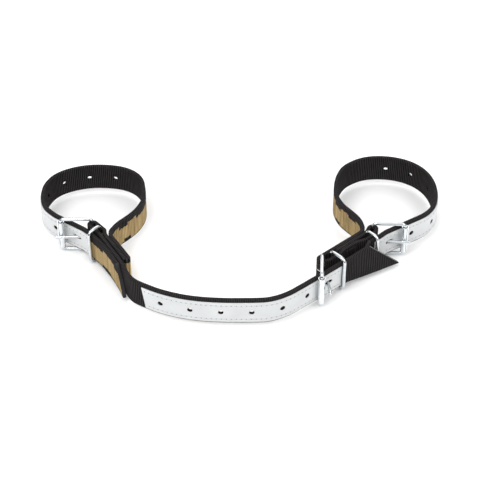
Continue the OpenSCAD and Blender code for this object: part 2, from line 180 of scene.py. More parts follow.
def trace(plan):
    """Smooth curve through the poses, as points half a millimetre apart."""
    out = []
    for p, q in zip(plan, plan[1:]):
        a, d = np.array(p[:2], float), np.array(q[:2], float)
        reach = np.linalg.norm(d - a) / (3 * math.cos(math.radians(turned(q[2] - p[2]) / 4)) ** 2)
        b, c = a + reach * ahead(p[2]), d - reach * ahead(q[2])
        n = max(8, int(np.linalg.norm(d - a) / 0.5), int(abs(turned(q[2] - p[2])) / 3))
        t = np.linspace(0, 1, n + 1)[:, None][0 if not out else 1:]
        out.append(a * (1 - t) ** 3 + 3 * b * t * (1 - t) ** 2 + 3 * c * t * t * (1 - t) + d * t**3)
    return np.vstack(out)


class Course:
    """A strap's middle line in plan, read by distance along it."""

    def __init__(self, *parts):
        pts = np.vstack([parts[0]] + [p[1:] for p in parts[1:]])
        self.pts = pts
        self.s = np.concatenate([[0], np.cumsum(np.linalg.norm(np.diff(pts, axis=0), axis=1))])
        way = np.gradient(pts, self.s, axis=0)
        self.h = np.unwrap(np.arctan2(way[:, 1], way[:, 0]))
        self.length = float(self.s[-1])
        self.lean_from = None

    def at(self, s):
        """x, y and heading in radians at a distance, running straight on past either end."""
        s = np.asarray(s, float)
        inside = np.clip(s, 0, self.length)
        x, y = np.interp(inside, self.s, self.pts[:, 0]), np.interp(inside, self.s, self.pts[:, 1])
        h = np.interp(inside, self.s, self.h)
        over = s - inside
        return x + over * np.cos(h), y + over * np.sin(h), h

    def place(self, s, across, z):
        """Points in metres, in the row frame, for distances, offsets to the left and heights in mm."""
        x, y, h = self.at(s)
        across = np.asarray(across, float)
        if self.lean_from is not None:
            t = np.clip((np.asarray(s, float) - self.lean_from) / LEAN_OVER, 0, 1)
            across = across + PANEL_LEAN * t * t * (3 - 2 * t) * (np.asarray(z, float) - Z0) / STRAP_W
        out = np.empty(np.broadcast(x, across, z).shape + (3,))
        out[..., 0] = (x - across * np.sin(h) - MID[0]) / 1000
        out[..., 1] = (y + across * np.cos(h) - MID[1]) / 1000
        out[..., 2] = np.asarray(z, float) / 1000
        return out


left_cuff = Course(trace(LEFT))
left_front = Course(trace(LEFT_FRONT))
middle = Course(trace(MIDDLE))
tail = Course(trace(TAIL))
right_cuff = Course(trace(RIGHT))
right_inner = Course(trace(RIGHT_INNER))

# The connecting strap and its strip are built as two halves that meet here, three holes to its left
SPLIT, LEFT_OF_SPLIT = 133.0, 3
cut = int(np.searchsorted(middle.s, SPLIT))
split_xy = np.array([[middle.at(SPLIT)[0], middle.at(SPLIT)[1]]])
# From the middle of the connecting strap leftwards, round the left buckle and cuff to the free end
left_all = Course(np.vstack([split_xy, middle.pts[:cut][::-1]]), left_front.pts[::-1], left_cuff.pts)
# From the same place rightwards to the connecting strap's free end
right_half = Course(np.vstack([split_xy, middle.pts[cut:]]), tail.pts)
# Where the left cuff strap starts on left_all, and the right flex on right_half
CUFF_AT = SPLIT + left_front.length
TAIL_AT = middle.length - SPLIT
right_half.lean_from = TAIL_AT + LEAN_FROM


# ------------ materials
def new_material(name, **values):
    """A material, calls for building its node tree, and its shader with the given values."""
    m = bpy.data.materials.new(name)
    m.use_nodes = True
    bsdf = m.node_tree.nodes["Principled BSDF"]
    for key, value in values.items():
        bsdf.inputs[key.replace("_", " ")].default_value = value
    return m, Nodes(m.node_tree), bsdf


class Nodes:
    """Short calls for building a node tree."""

    def __init__(self, nt):
        self.nt = nt

    def add(self, kind, **props):
        n = self.nt.nodes.new(kind)
        for key, value in props.items():
            setattr(n, key, value)
        return n

    def link(self, value, socket):
        if isinstance(value, bpy.types.NodeSocket):
            self.nt.links.new(value, socket)
        else:
            socket.default_value = value

    def math(self, op, a, b=0.0, c=0.0):
        n = self.add("ShaderNodeMath", operation=op)
        for value, socket in zip((a, b, c), n.inputs):
            self.link(value, socket)
        return n.outputs[0]

    def mix(self, fac, a, b):
        n = self.add("ShaderNodeMix", data_type="RGBA")
        self.link(fac, n.inputs[0])
        self.link(a, n.inputs[6])
        self.link(b, n.inputs[7])
        return n.outputs[2]

    def noise(self, vector, scale, detail=2.0, rough=0.5):
        n = self.add("ShaderNodeTexNoise")
        self.link(vector, n.inputs["Vector"])
        n.inputs["Scale"].default_value = scale
        n.inputs["Detail"].default_value = detail
        n.inputs["Roughness"].default_value = rough
        return n.outputs["Fac"]

    def ramp(self, value, low, high, to_low=0.0, to_high=1.0):
        n = self.add("ShaderNodeMapRange", clamp=True)
        self.link(value, n.inputs[0])
        for k, v in zip((1, 2, 3, 4), (low, high, to_low, to_high)):
            n.inputs[k].default_value = v
        return n.outputs[0]

    def bump(self, height, strength, distance, normal=None):
        n = self.add("ShaderNodeBump")
        self.link(height, n.inputs["Height"])
        n.inputs["Strength"].default_value = strength
        n.inputs["Distance"].default_value = distance
        if normal is not None:
            self.link(normal, n.inputs["Normal"])
        return n.outputs[0]

    def uv_mm(self, layer="strap"):
        """(distance along, height) on a strap, in mm."""
        uv = self.add("ShaderNodeUVMap", uv_map=layer)
        sep = self.add("ShaderNodeSeparateXYZ")
        self.link(uv.outputs[0], sep.inputs[0])
        return [self.math("MULTIPLY", sep.outputs[k], 1000.0) for k in (0, 1)]

    def position(self):
        return self.add("ShaderNodeTexCoord").outputs["Object"]


def steps(n, along, size, seed, low, high):
    """A value from low to high that jumps every size mm along the strap."""
    cell = n.math("FLOOR", n.math("DIVIDE", along, size))
    white = n.add("ShaderNodeTexWhiteNoise", noise_dimensions="1D")
    n.link(n.math("ADD", cell, seed), white.inputs["W"])
    return n.math("MULTIPLY_ADD", white.outputs["Value"], high - low, low)


def webbing_material(name, olive):
    m, n, bsdf = new_material(name, Roughness=0.75, Specular_IOR_Level=0.06)
    along, up = n.uv_mm()
    where = n.position()
    # ribs across the strap, with painted shade: near black in the valleys and lighter on the crests, with
    # yarns running along them
    phase = n.math("ABSOLUTE", n.math("COSINE", n.math("MULTIPLY", along, math.pi / RIB)))
    crest = n.ramp(phase, 0.35, 0.95)
    yarn = n.math("SINE", n.math("MULTIPLY", up, 2 * math.pi / 0.9))
    twist = n.math("SINE", n.math("MULTIPLY_ADD", along, 2 * math.pi / 0.7, n.math("MULTIPLY", up, 3.2)))
    cloudy = n.noise(where, 90.0, 4.0, 0.6)
    fine = n.noise(where, 1600.0, 2.0, 0.5)
    shade = n.math("MULTIPLY_ADD", cloudy, 0.5, n.math("MULTIPLY", fine, 0.5))
    raised = n.mix(n.ramp(shade, 0.3, 0.7), (0.022, 0.0195, 0.02, 1), (0.052, 0.047, 0.048, 1))
    # painted shade in the rib valleys and painted highlight on the crests
    black = n.mix(crest, (0.0008, 0.0007, 0.0008, 1), raised)
    # lint and rubbing along both edges
    edge = n.math("MAXIMUM", n.ramp(up, 38.3, 39.9), n.ramp(up, 1.7, 0.1))
    worn = n.math("MULTIPLY", edge, n.ramp(n.noise(where, 240.0, 3.0, 0.7), 0.45, 0.75))
    colour = n.mix(n.math("MULTIPLY", worn, 0.3), black, (0.03, 0.027, 0.027, 1))
    if olive:
        per_rib = steps(n, along, RIB, 7.0, 0.0, 1.0)
        # painted highlight and shade: the olive is lighter on the rib crests and darker in the valleys
        soft = n.math("MULTIPLY_ADD", cloudy, 0.5, n.math("MULTIPLY", crest, 0.35))
        tone = n.math("MULTIPLY_ADD", per_rib, 0.45, soft)
        gold = n.mix(n.ramp(tone, 0.3, 1.1), (0.205, 0.143, 0.06, 1), (0.6, 0.44, 0.22, 1))
        gold = n.mix(n.ramp(crest, 0.35, 0.0, 0.0, 0.7), gold, (0.12, 0.088, 0.042, 1))
        # black margins above and below the olive, uneven from rib to rib and wider in some stretches
        wide_top = n.ramp(steps(n, along, 17.0, 3.0, 0.0, 1.0), 0.5, 0.56)
        top = n.math("ADD", n.math("MULTIPLY", wide_top, 5.0), steps(n, along, RIB, 11.0, 6.2, 8.4))
        wide_low = n.ramp(steps(n, along, 13.0, 29.0, 0.0, 1.0), 0.68, 0.72)
        low = n.math("ADD", n.math("MULTIPLY", wide_low, 4.6), steps(n, along, RIB, 23.0, 1.6, 3.0))
        under_top = n.math("LESS_THAN", up, n.math("SUBTRACT", STRAP_W, top))
        over_low = n.math("GREATER_THAN", up, low)
        past_start = n.uv_mm("field")[0]
        begun = n.math("GREATER_THAN", past_start, steps(n, up, 3.1, 41.0, 0.0, 9.0))
        mask = n.math("MULTIPLY", n.math("MULTIPLY", under_top, over_low), begun)
        colour = n.mix(mask, colour, gold)
    n.link(colour, bsdf.inputs["Base Color"])
    n.link(n.ramp(cloudy, 0.3, 0.7, 0.62, 0.8), bsdf.inputs["Roughness"])
    fibres = n.math("MULTIPLY_ADD", twist, 0.3, n.math("MULTIPLY", fine, 0.6))
    height = n.math("MULTIPLY_ADD", yarn, 0.35, fibres)
    n.link(n.bump(height, 0.5, 0.00025, n.bump(crest, 0.6, 0.0004)), bsdf.inputs["Normal"])
    return m


def facing_material():
    m, n, bsdf = new_material("coated_white_strip", Roughness=0.38, Specular_IOR_Level=0.5,
                              Coat_Weight=0.15, Coat_Roughness=0.3)
    along, up = n.uv_mm()
    where = n.position()
    cloud = n.noise(where, 28.0, 3.0, 0.55)
    base = n.mix(n.ramp(cloud, 0.35, 0.7), (0.575, 0.588, 0.594, 1), (0.645, 0.658, 0.664, 1))
    speck = n.ramp(n.noise(where, 620.0, 2.0, 0.6), 0.63, 0.72)
    patch = n.ramp(n.noise(where, 60.0, 1.0), 0.35, 0.6)
    base = n.mix(n.math("MULTIPLY", n.math("MULTIPLY", speck, patch), 0.4), base, (0.36, 0.365, 0.365, 1))
    # needle holes along both rows of stitches
    in_stitch = n.math("FRACT", n.math("ADD", n.math("DIVIDE", along, STITCH), 0.5))
    beat = n.math("MULTIPLY", n.math("ABSOLUTE", n.math("SUBTRACT", in_stitch, 0.5)), STITCH)
    low_row = n.math("ABSOLUTE", n.math("SUBTRACT", up, FACE_LOW + SEW_IN))
    top_row = n.math("ABSOLUTE", n.math("SUBTRACT", up, FACE_LOW + FACE_W - SEW_IN))
    off_row = n.math("MINIMUM", low_row, top_row)
    away = n.math("SQRT", n.math("MULTIPLY_ADD", beat, beat, n.math("MULTIPLY", off_row, off_row)))
    base = n.mix(n.ramp(away, 1.0, 0.55), base, (0.2, 0.203, 0.207, 1))
    top_rim = n.ramp(up, FACE_LOW + FACE_W - 1.0, FACE_LOW + FACE_W)
    rim = n.math("MAXIMUM", top_rim, n.ramp(up, FACE_LOW + 0.9, FACE_LOW))
    grime = n.math("MULTIPLY", rim, n.ramp(n.noise(where, 170.0, 3.0, 0.7), 0.4, 0.7))
    base = n.mix(n.math("MULTIPLY", grime, 0.35), base, (0.34, 0.335, 0.33, 1))
    n.link(base, bsdf.inputs["Base Color"])
    n.link(n.ramp(n.noise(where, 75.0, 3.0), 0.3, 0.7, 0.3, 0.48), bsdf.inputs["Roughness"])
    weave = n.math("MULTIPLY", n.math("SINE", n.math("MULTIPLY", along, 2 * math.pi / 1.1)),
                   n.math("SINE", n.math("MULTIPLY", up, 2 * math.pi / 1.1)))
    height = n.math("MULTIPLY_ADD", weave, 0.25, n.noise(where, 900.0, 3.0, 0.6))
    n.link(n.bump(height, 0.22, 0.00025), bsdf.inputs["Normal"])
    return m


def thread_material(name, light, dark):
    m, n, bsdf = new_material(name, Roughness=0.55, Sheen_Weight=0.2)
    where = n.position()
    strands = n.noise(where, 1500.0, 2.0)
    n.link(n.mix(strands, dark, light), bsdf.inputs["Base Color"])
    n.link(n.bump(strands, 0.5, 0.0002), bsdf.inputs["Normal"])
    return m


def zinc_material(name, tint, rough):
    m, n, bsdf = new_material(name, Metallic=1.0, Roughness=rough)
    where = n.position()
    stretch = n.add("ShaderNodeMapping")
    n.link(where, stretch.inputs["Vector"])
    stretch.inputs["Scale"].default_value = (1.0, 1.0, 0.12)
    drawn = n.noise(stretch.outputs[0], 1400.0, 3.0, 0.6)
    cloud = n.noise(where, 130.0, 4.0, 0.6)
    dull = n.ramp(n.noise(where, 320.0, 4.0, 0.75), 0.56, 0.78)
    bright = n.mix(n.ramp(cloud, 0.35, 0.7), tuple(0.86 * v for v in tint) + (1,), tuple(tint) + (1,))
    colour = n.mix(n.math("MULTIPLY", dull, 0.3), bright, (0.34, 0.34, 0.335, 1))
    n.link(colour, bsdf.inputs["Base Color"])
    uneven = n.math("MULTIPLY_ADD", cloud, 0.16, n.math("MULTIPLY_ADD", dull, 0.22, rough - 0.08))
    n.link(uneven, bsdf.inputs["Roughness"])
    n.link(n.bump(n.math("MULTIPLY_ADD", drawn, 0.6, cloud), 0.18, 0.0002), bsdf.inputs["Normal"])
    return m


BLACK = webbing_material("black_webbing", False)
OLIVE = webbing_material("olive_faced_webbing", True)
SEALED = thread_material("heat_sealed_end", (0.02, 0.0185, 0.019, 1), (0.004, 0.0037, 0.004, 1))
WHITE = facing_material()
PALE_THREAD = thread_material("pale_thread", (0.62, 0.63, 0.64, 1), (0.45, 0.46, 0.465, 1))
BLACK_THREAD = thread_material("black_thread", (0.035, 0.034, 0.036, 1), (0.008, 0.008, 0.009, 1))
ZINC = zinc_material("zinc_plated_wire", (0.69, 0.72, 0.74), 0.17)
ZINC_SHEET = zinc_material("zinc_plated_sheet", (0.81, 0.84, 0.86), 0.21)


# ------------ mesh building
def make_object(name, verts, faces, materials, face_mats=None):
    """A smooth-shaded mesh with its faces turned outwards."""
    mesh = bpy.data.meshes.new(name)
    mesh.from_pydata([tuple(v) for v in verts], [], faces)
    for m in materials:
        mesh.materials.append(m)
    if face_mats is not None:
        mesh.polygons.foreach_set("material_index", np.asarray(face_mats, np.int32))
    mesh.polygons.foreach_set("use_smooth", [True] * len(mesh.polygons))
    mesh.update()
    whole = bmesh.new()
    whole.from_mesh(mesh)
    bmesh.ops.recalc_face_normals(whole, faces=whole.faces)
    whole.to_mesh(mesh)
    whole.free()
    obj = bpy.data.objects.new(name, mesh)
    bpy.context.scene.collection.objects.link(obj)
    return obj


def give_uv(mesh, layer, per_vertex):
    uv = mesh.uv_layers.new(name=layer)
    index = np.empty(len(mesh.loops), np.int32)
    mesh.loops.foreach_get("vertex_index", index)
    uv.data.foreach_set("uv", np.asarray(per_vertex, np.float32)[index].ravel())


# Angles of the points that round over a band's upper and lower edge
ROUNDING = [math.radians(a) for a in (25, 52, 90, 128, 155)]
# Rings from the grid in to a hole's wall: share of the way in, how far outside the hole, depth, flatness
HOLE_RINGS = ((0.5, 0.3, 0.0, 1.0), (0.85, 0.3, 0.0, 1.0), (1.0, 0.22, 0.05, 0.6), (1.0, 0.0, 0.4, 0.0))


def bulge(a):
    """A cosine that stays nearer 1 and -1, so that a rounded edge is fuller than a circle."""
    return math.copysign(abs(math.cos(a)) ** 0.6, math.cos(a))


def around(ring):
    """Neighbouring pairs round a closed ring."""
    return zip(ring, ring[1:] + ring[:1])


class Band:
    """A closed band standing on edge, between two offsets to the left of a course, in mm.

    Its far side looks to the left. The end may be cut on a slant, longest at the bottom, or at the
    top for a slant below 0. Vertices lie in columns, each one loop round the band's section."""

    def __init__(self, course, ends, sides, levels, rows, pitch, round_over, rib=0.0, slant=0.0,
                 dip=None, dip_side=1):
        self.course = course
        self.s0, self.s1 = ends
        self.z0, self.z1 = levels
        self.mid, self.half = (sides[0] + sides[1]) / 2, (sides[1] - sides[0]) / 2
        self.round_over, self.rib, self.slant = round_over, rib, slant
        self.dip, self.dip_side = dip, dip_side
        self.rows = np.asarray(rows, float)
        self.last = len(self.rows) - 1
        self.count = max(8, int(round((self.s1 - self.s0) / pitch)))
        self.cols = np.linspace(self.s0, self.s1, self.count + 1)
        self.pitch = (self.s1 - self.s0) / self.count
        self.section = self.section_loop()
        self.verts, self.along, self.height = [], [], []
        self.faces, self.face_mats = [], []
        self.cut_far, self.cut_near = set(), set()

    def section_loop(self):
        """Offsets and heights: far side upwards, over the top, near side downwards, under the bottom."""
        half, soft = self.half, self.round_over
        loop = [(half, z) for z in self.rows]
        loop += [(half * bulge(a), self.z1 - soft + soft * math.sin(a) ** 0.85) for a in ROUNDING]
        loop += [(-half, z) for z in self.rows[::-1]]
        loop += [(-half * bulge(a), self.z0 + soft - soft * math.sin(a) ** 0.85) for a in ROUNDING]
        return loop

    def slanted(self, s, z):
        """Distance along the course once the end has its slant."""
        if not self.slant:
            return s
        fade = 2.9 * abs(self.slant)
        near_end = np.clip((s - self.s1 + fade) / fade, 0, 1) ** 2
        return s - self.slant * near_end * (z - self.z0) / (self.z1 - self.z0)

    def ribbed(self, s):
        """How far the ribs stand out."""
        return self.rib * (np.abs(np.cos(np.pi * s / RIB)) * 1.5 - 1.0)

    def surface(self, s, offset, z, flat):
        """Places in metres and true distances; flat is 1 on a face and less on an edge."""
        true_s = self.slanted(s, z)
        extra = self.ribbed(true_s) * flat
        if self.dip is not None:
            extra = extra + self.dip(true_s, z) * np.where(offset * self.dip_side > 0, 1, 0) * flat
        out = offset + np.sign(offset) * extra * (np.abs(offset) > self.half * 0.9)
        above = z - (self.z0 + self.z1) / 2
        past_row = np.abs(above) - (self.z1 - self.z0) / 2 + self.round_over
        rim = np.clip(past_row, 0, self.round_over) / self.round_over
        notched = z + EDGE_NOTCH * rim * np.sign(above) * self.ribbed(true_s)
        return self.course.place(true_s, self.mid + out, notched), true_s

    def add_points(self, s, offset, z, flat):
        """Adds vertices and returns their numbers."""
        places, true_s = self.surface(s, offset, z, flat)
        first = len(self.verts)
        self.verts += [tuple(p) for p in places.reshape(-1, 3)]
        self.along += np.ravel(true_s).tolist()
        self.height += np.ravel(z).tolist()
        return list(range(first, len(self.verts)))

    def add_face(self, face, material):
        self.faces.append(face[::-1])
        self.face_mats.append(material)

    def vertex(self, i, k):
        return i * len(self.section) + k % len(self.section)

    def far_k(self, j):
        return j

    def near_k(self, j):
        return self.last + 1 + len(ROUNDING) + (self.last - j)

    def add_grid_points(self):
        offset = np.array([p[0] for p in self.section])
        high = np.array([p[1] for p in self.section])
        columns, k = np.meshgrid(self.cols, np.arange(len(self.section)), indexing="ij")
        flat = np.where(np.abs(offset[k]) > self.half * 0.97, 1.0, 0.4)
        self.add_points(columns, offset[k], high[k], flat)

    def punch(self, hole, side_mats):
        """A hole through the band: (s on the near side, s on the far side, z, half length, half height).

        The grid's faces near it are left out, and rings close in from there on each side."""
        s_near, s_far, z_mid, half_l, half_h = hole
        reach = max(4, int(math.ceil((half_l + 1.7) / self.pitch)))
        cut_rows = [j for j in range(self.last + 1) if abs(self.rows[j] - z_mid) <= half_h + 1.9]
        j0, j1 = cut_rows[0], cut_rows[-1]
        walls = []
        for s_mid, k_of, cut, sign, material in (
            (s_far, self.far_k, self.cut_far, 1, side_mats[0]),
            (s_near, self.near_k, self.cut_near, -1, side_mats[1]),
        ):
            centre = int(round((s_mid - self.s0) / self.pitch))
            i0, i1 = centre - reach, centre + reach
            cut.update((i, j) for i in range(i0, i1) for j in range(j0, j1))
            edge = [(i, j0) for i in range(i0, i1)] + [(i1, j) for j in range(j0, j1)]
            edge += [(i, j1) for i in range(i1, i0, -1)] + [(i0, j) for j in range(j1, j0, -1)]
            ds = np.array([self.cols[i] - s_mid for i, j in edge])
            dz = np.array([self.rows[j] - z_mid for i, j in edge])
            turn = np.arctan2(dz / half_h, ds / half_l)
            rings = [[self.vertex(i, k_of(j)) for i, j in edge]]
            for share, outside, depth, flat in HOLE_RINGS:
                ring_s = s_mid + ds + ((half_l + outside) * np.cos(turn) - ds) * share
                ring_z = z_mid + dz + ((half_h + outside) * np.sin(turn) - dz) * share
                offset = np.full(len(edge), sign * (self.half - depth))
                rings.append(self.add_points(ring_s, offset, ring_z, flat))
            for outer, inner in zip(rings, rings[1:]):
                for (a, b), (c, d) in zip(around(outer), around(inner)):
                    face = (a, b, d, c)
                    self.add_face(face if sign > 0 else face[::-1], material)
            walls.append(rings[-1])
        for (a, b), (c, d) in zip(around(walls[0]), around(walls[1])):
            self.add_face((a, b, d, c), 0)

    def add_skin(self, side_mats):
        """The grid's faces, less those that the holes take away."""
        near_from = self.near_k(self.last)
        for i in range(self.count):
            for k in range(len(self.section)):
                material = 0
                if k < self.last:
                    material = side_mats[0]
                    if (i, k) in self.cut_far:
                        continue
                elif near_from <= k < near_from + self.last:
                    material = side_mats[1]
                    if (i, self.last - (k - near_from) - 1) in self.cut_near:
                        continue
                corner_at = ((i, k), (i + 1, k), (i + 1, k + 1), (i, k + 1))
                self.add_face(tuple(self.vertex(*at) for at in corner_at), material)

    def add_caps(self, material):
        """Closes both ends and returns the edges round them."""
        total, sharp = len(self.section), set()
        for i in (0, self.count):
            caps = []
            for j in range(self.last):
                ks = (self.far_k(j), self.far_k(j + 1), self.near_k(j + 1), self.near_k(j))
                caps.append(tuple(self.vertex(i, k) for k in ks))
            caps.append(tuple(self.vertex(i, k) for k in range(self.last, self.last + 2 + len(ROUNDING))))
            caps.append(tuple(self.vertex(i, k) for k in range(total - len(ROUNDING) - 1, total + 1)))
            for cap in caps:
                self.add_face(cap[::-1] if i else cap, material)
            sharp.update(frozenset((self.vertex(i, k), self.vertex(i, k + 1))) for k in range(total))
        return sharp

    def build(self, name, materials, side_mats, holes, uv_from=0.0, uv_sign=1.0, olive=EVERYWHERE):
        """The finished object. Materials are the edges' and holes' first and the ends' last.

        side_mats are the far and near faces' materials. The olive face shows between two distances."""
        self.add_grid_points()
        for hole in holes:
            self.punch(hole, side_mats)
        self.add_skin(side_mats)
        sharp = self.add_caps(len(materials) - 1)
        obj = make_object(name, self.verts, self.faces, materials, self.face_mats)
        spots = list(zip(self.along, self.height))
        give_uv(obj.data, "strap", [(uv_sign * (s - uv_from) / 1000, (z - Z0) / 1000) for s, z in spots])
        if OLIVE in materials:
            past_start = [(s - olive[0]) / 1000 if s < olive[1] else -0.05 for s in self.along]
            give_uv(obj.data, "field", [(past, 0.0) for past in past_start])
        for e in obj.data.edges:
            if frozenset(e.vertices) in sharp:
                e.use_edge_sharp = True
        return obj


def web_rows():
    """Heights of the vertices on a webbing's faces."""
    inner = 2 * WEB_ROUND
    between = [Z0 + inner + (STRAP_W - 2 * inner) * i / 20 for i in range(21)]
    return [Z0 + WEB_ROUND] + between + [Z1 - WEB_ROUND]


def web_strap(name, course, holes, side_mats, slant=0.0, **more):
    """A ribbed webbing over the whole of a course."""
    band = Band(course, (0, course.length), web, (Z0, Z1), web_rows(), RIB / 4, WEB_ROUND,
                rib=RIB_HIGH, slant=slant)
    return band.build(name, [BLACK, OLIVE, SEALED], side_mats, holes, **more)


FACE_Z0, FACE_Z1 = Z0 + FACE_LOW, Z0 + FACE_LOW + FACE_W


def face_rows():
    """Heights of the vertices on a facing strip, closest together at its edges and rows of stitches."""
    low = [FACE_ROUND, 1.4, 2.6, 3.8, SEW_IN - 1.1, SEW_IN - 0.5, SEW_IN, SEW_IN + 0.5, SEW_IN + 1.1]
    inner = SEW_IN + 2.2
    middle_rows = [inner + (FACE_W - 2 * inner) * i / 13 for i in range(14)]
    return [FACE_Z0 + v for v in low + middle_rows + [FACE_W - v for v in low[::-1]]]


def sewn(s, z):
    """The strip pulls in along both rows of stitches, most where a stitch goes down."""
    width, depth = 0.55, 0.09
    low_row = np.exp(-(((z - FACE_Z0 - SEW_IN) / width) ** 2))
    top_row = np.exp(-(((FACE_Z1 - SEW_IN - z) / width) ** 2))
    tug = depth + depth * np.cos(2 * np.pi * s / STITCH)
    ripple = 0.05 * np.sin(s / 6.1) * np.sin(z / 5.3)
    return -(low_row + top_row) * tug + ripple


def capsules(name, course, spots, material):
    """Stitches: short rounded threads that dive into the face at both ends.

    spots are (s, across, z, out, length, upright): out is the side of the face, 1 or -1, and upright
    stitches stand across the strap."""
    ring, rows = 8, 9
    radius, rise, sunk = 0.3, 0.33, 0.12
    along, over, high, faces = [], [], [], []
    for s, across, z, out, length, upright in spots:
        base = len(along)
        for i in range(rows):
            t = i / (rows - 1) * 2 - 1
            lift = rise * max(0.0, 1 - t**2) ** 0.5
            thick = radius * (1 - 0.55 * t**4)
            for k in range(ring):
                a = 2 * math.pi * k / ring
                run_off = t * length / 2
                side = thick * math.cos(a) * 1.05
                over.append(across + out * (lift - sunk + thick * 0.75 * math.sin(a)))
                along.append(s + (side if upright else run_off))
                high.append(z + (run_off if upright else side))
        for i in range(rows - 1):
            here, there = base + i * ring, base + (i + 1) * ring
            for k, k2 in around(list(range(ring))):
                faces.append((here + k, here + k2, there + k2, there + k))
        faces.append(tuple(base + k for k in range(ring)))
        faces.append(tuple(base + (rows - 1) * ring + k for k in range(ring)))
    verts = course.place(np.array(along), np.array(over), np.array(high))
    return make_object(name, verts, faces, [material])


def sweep(name, pts, radii, materials, ring=20, closed=False):
    """A wire of changing radius along points in mm, in the row frame."""
    pts = np.asarray(pts, float)
    n = len(pts)
    if closed:
        ways = np.roll(pts, -1, axis=0) - np.roll(pts, 1, axis=0)
    else:
        ways = np.gradient(pts, axis=0)
    ways /= np.linalg.norm(ways, axis=1)[:, None]
    ref = np.array([0, 0, 1.0]) if abs(ways[0][2]) < 0.9 else np.array([1.0, 0, 0])
    side = np.cross(ways[0], ref)
    side /= np.linalg.norm(side)
    sides = [side]
    for i in range(1, n):
        v = sides[-1] - ways[i] * np.dot(sides[-1], ways[i])
        sides.append(v / np.linalg.norm(v))
    if closed:
        # share out the twist that is left where the wire meets its own start
        v = sides[-1] - ways[0] * np.dot(sides[-1], ways[0])
        v /= np.linalg.norm(v)
        twist = math.atan2(np.dot(np.cross(v, sides[0]), ways[0]), np.dot(v, sides[0]))
        for i in range(n):
            a = twist * i / n
            c = np.cross(ways[i], sides[i])
            sides[i] = sides[i] * math.cos(a) + c * math.sin(a)
    verts, faces = [], []
    for i in range(n):
        up = np.cross(ways[i], sides[i])
        for k in range(ring):
            a = 2 * math.pi * k / ring
            verts.append(tuple((pts[i] + radii[i] * (math.cos(a) * sides[i] + math.sin(a) * up)) / 1000))
    for i in range(n if closed else n - 1):
        j = (i + 1) % n
        for k, k2 in around(list(range(ring))):
            faces.append((i * ring + k, i * ring + k2, j * ring + k2, j * ring + k))
    if not closed:
        faces.append(tuple(range(ring))[::-1])
        faces.append(tuple((n - 1) * ring + k for k in range(ring)))
    return make_object(name, verts, faces, materials)


def plan_point(base, direction, along, across=0.0, z=0.0):
    """Point in mm, in the row frame, measured from a base bar."""
    p = np.array(base, float) + along * ahead(direction) + across * aside(direction)
    return np.array([p[0] - MID[0], p[1] - MID[1], z])


def wire_loop(name, base, direction, length, rear_r, front_r):
    """Bent wire rectangle with round corners, its ends butted and welded in the middle of the lower rail.

    The wire is as thin as in the CAD at the rear bar, where it turns in the webbing, and swells past it."""
    z_low, z_high = SHOWN_WIRE, FRAME_H - SHOWN_WIRE
    front = length - front_r
    bends = [(front, z_low + front_r, 270, front_r), (front, z_high - front_r, 0, front_r),
             (rear_r, z_high - rear_r, 90, rear_r), (rear_r, z_low + rear_r, 180, rear_r)]
    weld_half, weld_swell, swell_over = 1.5, 0.05, 5.0
    flat = []

    def run(a, b):
        parts = max(2, int(math.dist(a, b) / 1.6))
        for i in range(parts):
            flat.append((a[0] + (b[0] - a[0]) * i / parts, a[1] + (b[1] - a[1]) * i / parts))

    weld_at = (length / 2, z_low)
    here = weld_at
    for cx, cz, start, corner in bends:
        turn = np.radians(np.linspace(start, start + 90, 13))
        bend = [(cx + corner * math.cos(a), cz + corner * math.sin(a)) for a in turn]
        run(here, bend[0])
        flat.extend(bend[:-1])
        here = bend[-1]
    run(here, weld_at)
    pts = [plan_point(base, direction, x, 0, z) for x, z in flat]
    radii = []
    for x, z in flat:
        weld = math.exp(-(((x - weld_at[0]) / weld_half) ** 2)) if abs(z - z_low) < 0.1 else 0.0
        past_rear = min(1.0, max(0.0, (x - rear_r) / swell_over))
        radii.append((WIRE_R + (SHOWN_WIRE - WIRE_R) * past_rear) * (1 + weld_swell * weld))
    return sweep(name, pts, radii, [ZINC], closed=True)


def roller(name, base, direction, seam):
    """Rolled tube with rounded ends and the open seam where its edges meet."""
    at = plan_point(base, direction, FRAME_L)
    inner, half = ROLL_R - ROLL_WALL, ROLL_L / 2
    soft, bevel = 0.45, 0.15
    gap_half, lip_width, lip_pull = 0.35, 4.0, 0.16

    def end_corner(end, angles):
        turn = [math.radians(a) for a in angles]
        return [(ROLL_R - soft + soft * math.cos(a), end * (half - soft + soft * math.sin(a))) for a in turn]

    profile = [(inner, half - bevel), (inner + bevel, half)] + end_corner(1, (90, 60, 30, 0))
    profile += [(ROLL_R, z) for z in np.linspace(half - 2, -half + 2, 12)]
    profile += end_corner(-1, (0, 30, 60, 90)) + [(inner + bevel, -half), (inner, -half + bevel)]
    slit = math.degrees(gap_half / ROLL_R)
    n, m = 60, len(profile)
    verts, faces = [], []
    for i in range(n + 1):
        t = i / n
        a = math.radians(direction + seam + slit + (360 - 2 * slit) * t)
        from_lip = min(t, 1 - t) * 360
        pull = lip_pull * math.exp(-((from_lip / lip_width) ** 2))
        for r, z in profile:
            out = r - pull if r > inner + 2 * bevel else r
            place = (at[0] + out * math.cos(a), at[1] + out * math.sin(a), FRAME_MID + z)
            verts.append(tuple(v / 1000 for v in place))
    for i in range(n):
        for k, k2 in around(list(range(m))):
            faces.append((i * m + k2, i * m + k, (i + 1) * m + k, (i + 1) * m + k2))
    faces.append(tuple(range(m)))
    faces.append(tuple(n * m + k for k in range(m))[::-1])
    obj = make_object(name, verts, faces, [ZINC_SHEET])
    for edge in obj.data.edges:
        if max(edge.vertices) < m or min(edge.vertices) >= n * m:
            edge.use_edge_sharp = True
    return obj


def prong_line(direction, sense, opened):
    """The radius of the prong's eye, the tilt of its shank onto the roller, and the way it points."""
    eye = WIRE_R + RUN + PRONG_R
    rest = ROLL_R + PRONG_R + CLEAR
    tilt = math.degrees(math.atan((rest - eye) / FRAME_L))
    return eye, tilt, direction + sense * opened


